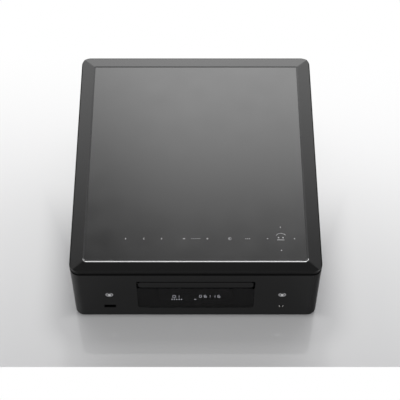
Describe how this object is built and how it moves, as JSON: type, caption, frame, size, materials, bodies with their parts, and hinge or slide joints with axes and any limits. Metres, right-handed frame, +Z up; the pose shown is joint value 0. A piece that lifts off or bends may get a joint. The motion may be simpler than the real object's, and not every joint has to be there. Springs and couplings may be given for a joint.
{
  "type": "cd receiver",
  "caption": "Compact box-shaped disc receiver with a glass touch top, sloped rim, sliding disc tray over a display window, and round front buttons.",
  "frame": {"origin": "on the floor under the middle of the bounding box", "axes": "+X right seen from the front, front faces -Y, +Z up; Y is the longest extent and Z the shortest"},
  "size_m": [0.28, 0.305, 0.107],
  "materials": {
    "rim": "piano black moulding",
    "touch_glass": "back-printed black glass",
    "trim": "polished frame",
    "circuit_board": "green solder mask",
    "band": "gloss black moulding",
    "front": "satin gloss black moulding",
    "side": "satin black paint",
    "rear": "fine textured black paint",
    "chassis": "black coated steel",
    "foot": "moulded rubber",
    "screw": "zinc plated",
    "black_screw": "black oxide",
    "window": "smoked acrylic",
    "display": "display glass",
    "button": "polished and lacquered",
    "socket_metal": "nickel plated",
    "tray": "fine textured moulding",
    "loader": "glass filled moulding",
    "bracket": "zinc coated sheet",
    "clamper": "natural nylon",
    "gear": "natural acetal",
    "motor": "plated can",
    "belt": "square rubber belt",
    "rod": "ground steel",
    "turntable": "black moulding with a rubber seat",
    "sled": "glass filled moulding",
    "lens": "coated lens",
    "heatsink": "extruded",
    "power_board": "paper laminate board",
    "ferrite": "ferrite and tape",
    "capacitor": "sleeved aluminium can",
    "terminal_block": "moulded plate",
    "terminal_post": "plated posts in moulded collars",
    "cap_black": "moulded cap",
    "cap_red": "moulded cap",
    "socket_plastic": "moulded socket"
  },
  "bodies": {
    "housing": {"top_cover": "rim", "touch_glass": "touch_glass", "glass_trim": "trim", "touch_board": "circuit_board", "waist_band": "band", "front_panel": "front", "side_panel_left": "side", "side_panel_right": "side", "rear_panel": "rear", "socket_plate": "rear", "bottom_chassis": "chassis", "rubber_feet": "foot", "foot_screws": "screw", "rear_screws": "black_screw", "base_screws": "black_screw", "display_window": "window", "display_module": "display", "front_board": "circuit_board", "usb_socket": "socket_metal", "headphone_jack": "socket_metal", "loader_frame": "loader", "loader_bracket_front": "bracket", "loader_bracket_rear": "bracket", "clamp_bridge": "bracket", "loading_motor": "motor", "drive_belt": "belt", "main_board": "circuit_board", "amplifier_heatsink": "heatsink", "power_board": "power_board", "transformer": "ferrite", "mains_capacitors": "capacitor", "terminal_block": "terminal_block", "terminal_posts": "terminal_post", "phono_jacks": "socket_plastic", "optical_sockets": "socket_plastic", "lan_socket": "socket_metal", "aerial_socket": "socket_metal", "mains_inlet": "socket_plastic"},
    "tray": {"disc_tray": "tray", "tray_front": "front"},
    "tray_gear": {"tray_gear": "gear"},
    "pulley_gear": {"pulley_gear": "gear"},
    "motor_pulley": {"motor_pulley": "gear"},
    "cam_slider": {"cam_slider": "gear"},
    "traverse": {"traverse_frame": "loader", "guide_rods": "rod", "spindle_motor": "motor", "sled_motor": "motor"},
    "turntable": {"turntable": "turntable"},
    "clamper": {"clamper": "clamper"},
    "sled": {"pickup_sled": "sled", "pickup_lens": "lens"},
    "sled_gear": {"sled_gear": "gear"},
    "sled_motor_gear": {"sled_motor_gear": "gear"},
    "power_button": {"power_button": "button"},
    "eject_button": {"eject_button": "button"},
    "terminal_cap_left_minus": {"terminal_cap_left_minus": "cap_black"},
    "terminal_cap_left_plus": {"terminal_cap_left_plus": "cap_red"},
    "terminal_cap_right_minus": {"terminal_cap_right_minus": "cap_black"},
    "terminal_cap_right_plus": {"terminal_cap_right_plus": "cap_red"}
  },
  "joints": [
    {"name": "tray_slide", "type": "slide", "parent": "housing", "child": "tray", "axis": [0, -1, 0], "range_m": [0, 0.136]},
    {"name": "tray_gear_spin", "type": "hinge", "parent": "housing", "child": "tray_gear", "pos_m": [-0.043, -0.125, 0.053], "axis": [0, 0, 1], "range_deg": [0, 866.8]},
    {"name": "pulley_gear_spin", "type": "hinge", "parent": "housing", "child": "pulley_gear", "pos_m": [-0.024, -0.125, 0.053], "axis": [0, 0, 1], "range_deg": [-1876.9, 0]},
    {"name": "motor_pulley_spin", "type": "hinge", "parent": "housing", "child": "motor_pulley", "pos_m": [0.034, -0.125, 0.053], "axis": [0, 0, 1], "range_deg": [-7629.7, 0]},
    {"name": "cam_slide", "type": "slide", "parent": "housing", "child": "cam_slider", "axis": [-1, 0, 0], "range_m": [0, 0.0241]},
    {"name": "traverse_tilt", "type": "hinge", "parent": "housing", "child": "traverse", "pos_m": [0, 0.02, 0.058], "axis": [1, 0, 0], "range_deg": [0, 7.01]},
    {"name": "turntable_spin", "type": "hinge", "parent": "traverse", "child": "turntable", "pos_m": [0, -0.084, 0.0716], "axis": [0, 0, 1], "continuous": true},
    {"name": "clamper_spin", "type": "hinge", "parent": "housing", "child": "clamper", "pos_m": [0, -0.084, 0.0743], "axis": [0, 0, 1], "continuous": true},
    {"name": "sled_slide", "type": "slide", "parent": "traverse", "child": "sled", "axis": [0, 1, 0], "range_m": [0, 0.034]},
    {"name": "sled_gear_spin", "type": "hinge", "parent": "traverse", "child": "sled_gear", "pos_m": [0.0278, -0.04, 0.0616], "axis": [0, 0, 1], "range_deg": [-348.9, 0]},
    {"name": "sled_motor_spin", "type": "hinge", "parent": "traverse", "child": "sled_motor_gear", "pos_m": [0.0278, -0.0488, 0.0616], "axis": [0, 0, 1], "range_deg": [0, 609.8]},
    {"name": "power_press", "type": "slide", "parent": "housing", "child": "power_button", "axis": [0, 1, 0], "range_m": [0, 0.0012], "stiffness_N_per_m": 350},
    {"name": "eject_press", "type": "slide", "parent": "housing", "child": "eject_button", "axis": [0, 1, 0], "range_m": [0, 0.0012], "stiffness_N_per_m": 350},
    {"name": "cap_left_minus_unscrew", "type": "slide", "parent": "housing", "child": "terminal_cap_left_minus", "axis": [0, 1, 0], "range_m": [0, 0.0035]},
    {"name": "cap_left_plus_unscrew", "type": "slide", "parent": "housing", "child": "terminal_cap_left_plus", "axis": [0, 1, 0], "range_m": [0, 0.0035]},
    {"name": "cap_right_minus_unscrew", "type": "slide", "parent": "housing", "child": "terminal_cap_right_minus", "axis": [0, 1, 0], "range_m": [0, 0.0035]},
    {"name": "cap_right_plus_unscrew", "type": "slide", "parent": "housing", "child": "terminal_cap_right_plus", "axis": [0, 1, 0], "range_m": [0, 0.0035]}
  ],
  "couplings": [
    {"joint": "tray_gear_spin", "follows": "tray_slide", "rad_per_m": 111.11},
    {"joint": "pulley_gear_spin", "follows": "tray_slide", "rad_per_m": -240.74},
    {"joint": "motor_pulley_spin", "follows": "tray_slide", "rad_per_m": -979.01},
    {"joint": "cam_slide", "follows": "tray_slide", "ratio": 0.17647},
    {"joint": "traverse_tilt", "follows": "tray_slide", "rad_per_m": 0.89833},
    {"joint": "clamper_spin", "follows": "turntable_spin", "ratio": 1},
    {"joint": "sled_gear_spin", "follows": "sled_slide", "rad_per_m": -178.57},
    {"joint": "sled_motor_spin", "follows": "sled_slide", "rad_per_m": 312.5}
  ]
}
